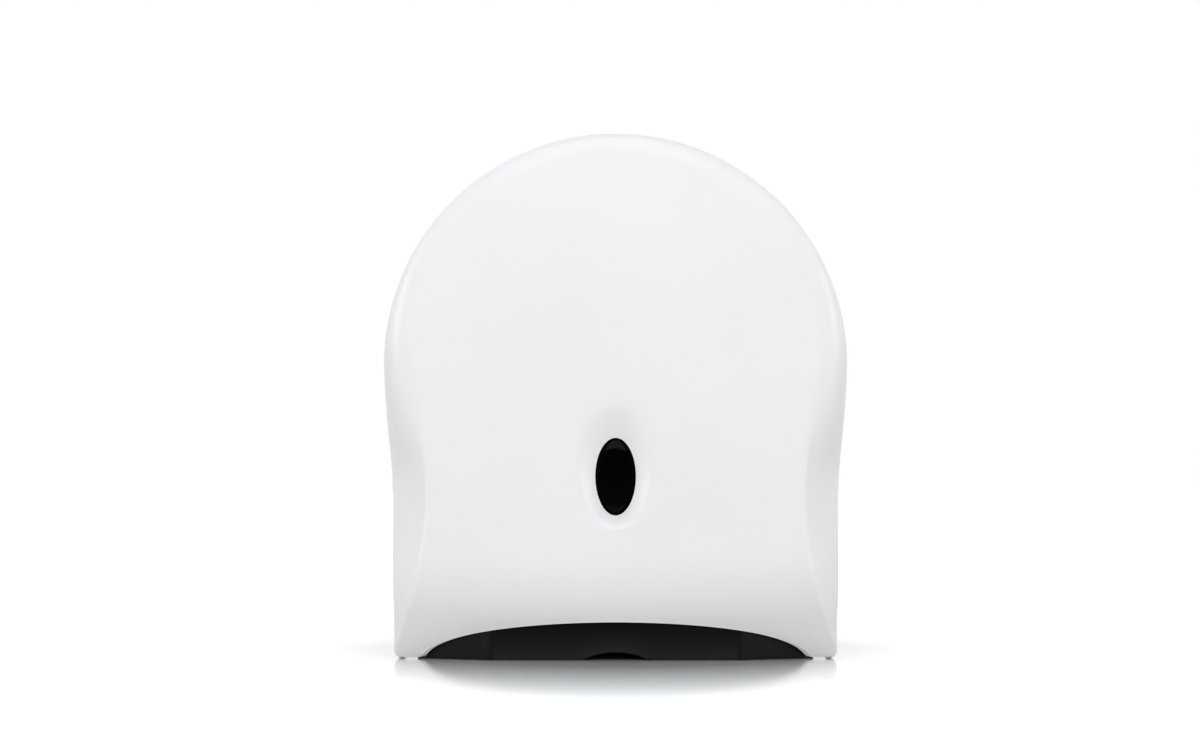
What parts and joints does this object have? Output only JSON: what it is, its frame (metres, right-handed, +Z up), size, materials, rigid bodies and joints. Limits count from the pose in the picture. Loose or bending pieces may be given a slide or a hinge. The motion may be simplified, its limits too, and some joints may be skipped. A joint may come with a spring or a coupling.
{
  "type": "jumbo toilet roll dispenser",
  "caption": "Wall dispenser for jumbo toilet rolls: white domed drop-down cover with a smoked level window, black lower guard with a finger notch, spindle and top cam lock.",
  "frame": {"origin": "on the wall plane, in the middle of the lower edge", "axes": "+Z up, +Y into the wall (the front faces -Y), +X to the right of someone who faces the front"},
  "size_m": [0.3, 0.13, 0.34],
  "materials": {
    "cover_white": "semi-gloss white moulded ABS",
    "gloss_black": "polished black ABS",
    "plate_black": "fine-textured black ABS",
    "smoked_lens": "smoked transparent acrylic",
    "steel": "zinc-plated steel",
    "chrome": "chromed zinc",
    "hub_grey": "grey moulded ABS",
    "bush_white": "natural white acetal"
  },
  "bodies": {
    "base": {"back_plate": "plate_black", "bottom_tray": "gloss_black", "axle": "steel", "axle_screws": "steel", "thrust_washer": "bush_white", "brake_washer": "steel", "axle_end_screw": "steel", "hinge_pin_left": "steel", "hinge_pin_right": "steel", "striker": "steel", "striker_screws": "steel", "tear_blades": "steel", "blade_rivets": "steel", "tray_screws": "steel"},
    "cover": {"front_cover": "cover_white", "window_lens": "smoked_lens", "lens_retainer": "plate_black", "retainer_screws": "steel", "lock_body": "chrome", "lock_nut": "steel"},
    "hub": {"roll_hub": "hub_grey", "hub_bushes": "bush_white", "hub_cap": "hub_grey"},
    "lock": {"lock_barrel": "chrome", "lock_cam": "steel", "cam_screw": "steel"}
  },
  "joints": [
    {"name": "cover_hinge", "type": "hinge", "parent": "base", "child": "cover", "pos_m": [0, -0.02, 0.014], "axis": [1, 0, 0], "range_deg": [0, 88]},
    {"name": "hub_spin", "type": "hinge", "parent": "base", "child": "hub", "pos_m": [0, -0.06, 0.19], "axis": [0, 1, 0], "continuous": true},
    {"name": "lock_turn", "type": "hinge", "parent": "cover", "child": "lock", "pos_m": [0, -0.045, 0.33], "axis": [0, 0, -1], "range_deg": [0, 90]}
  ]
}
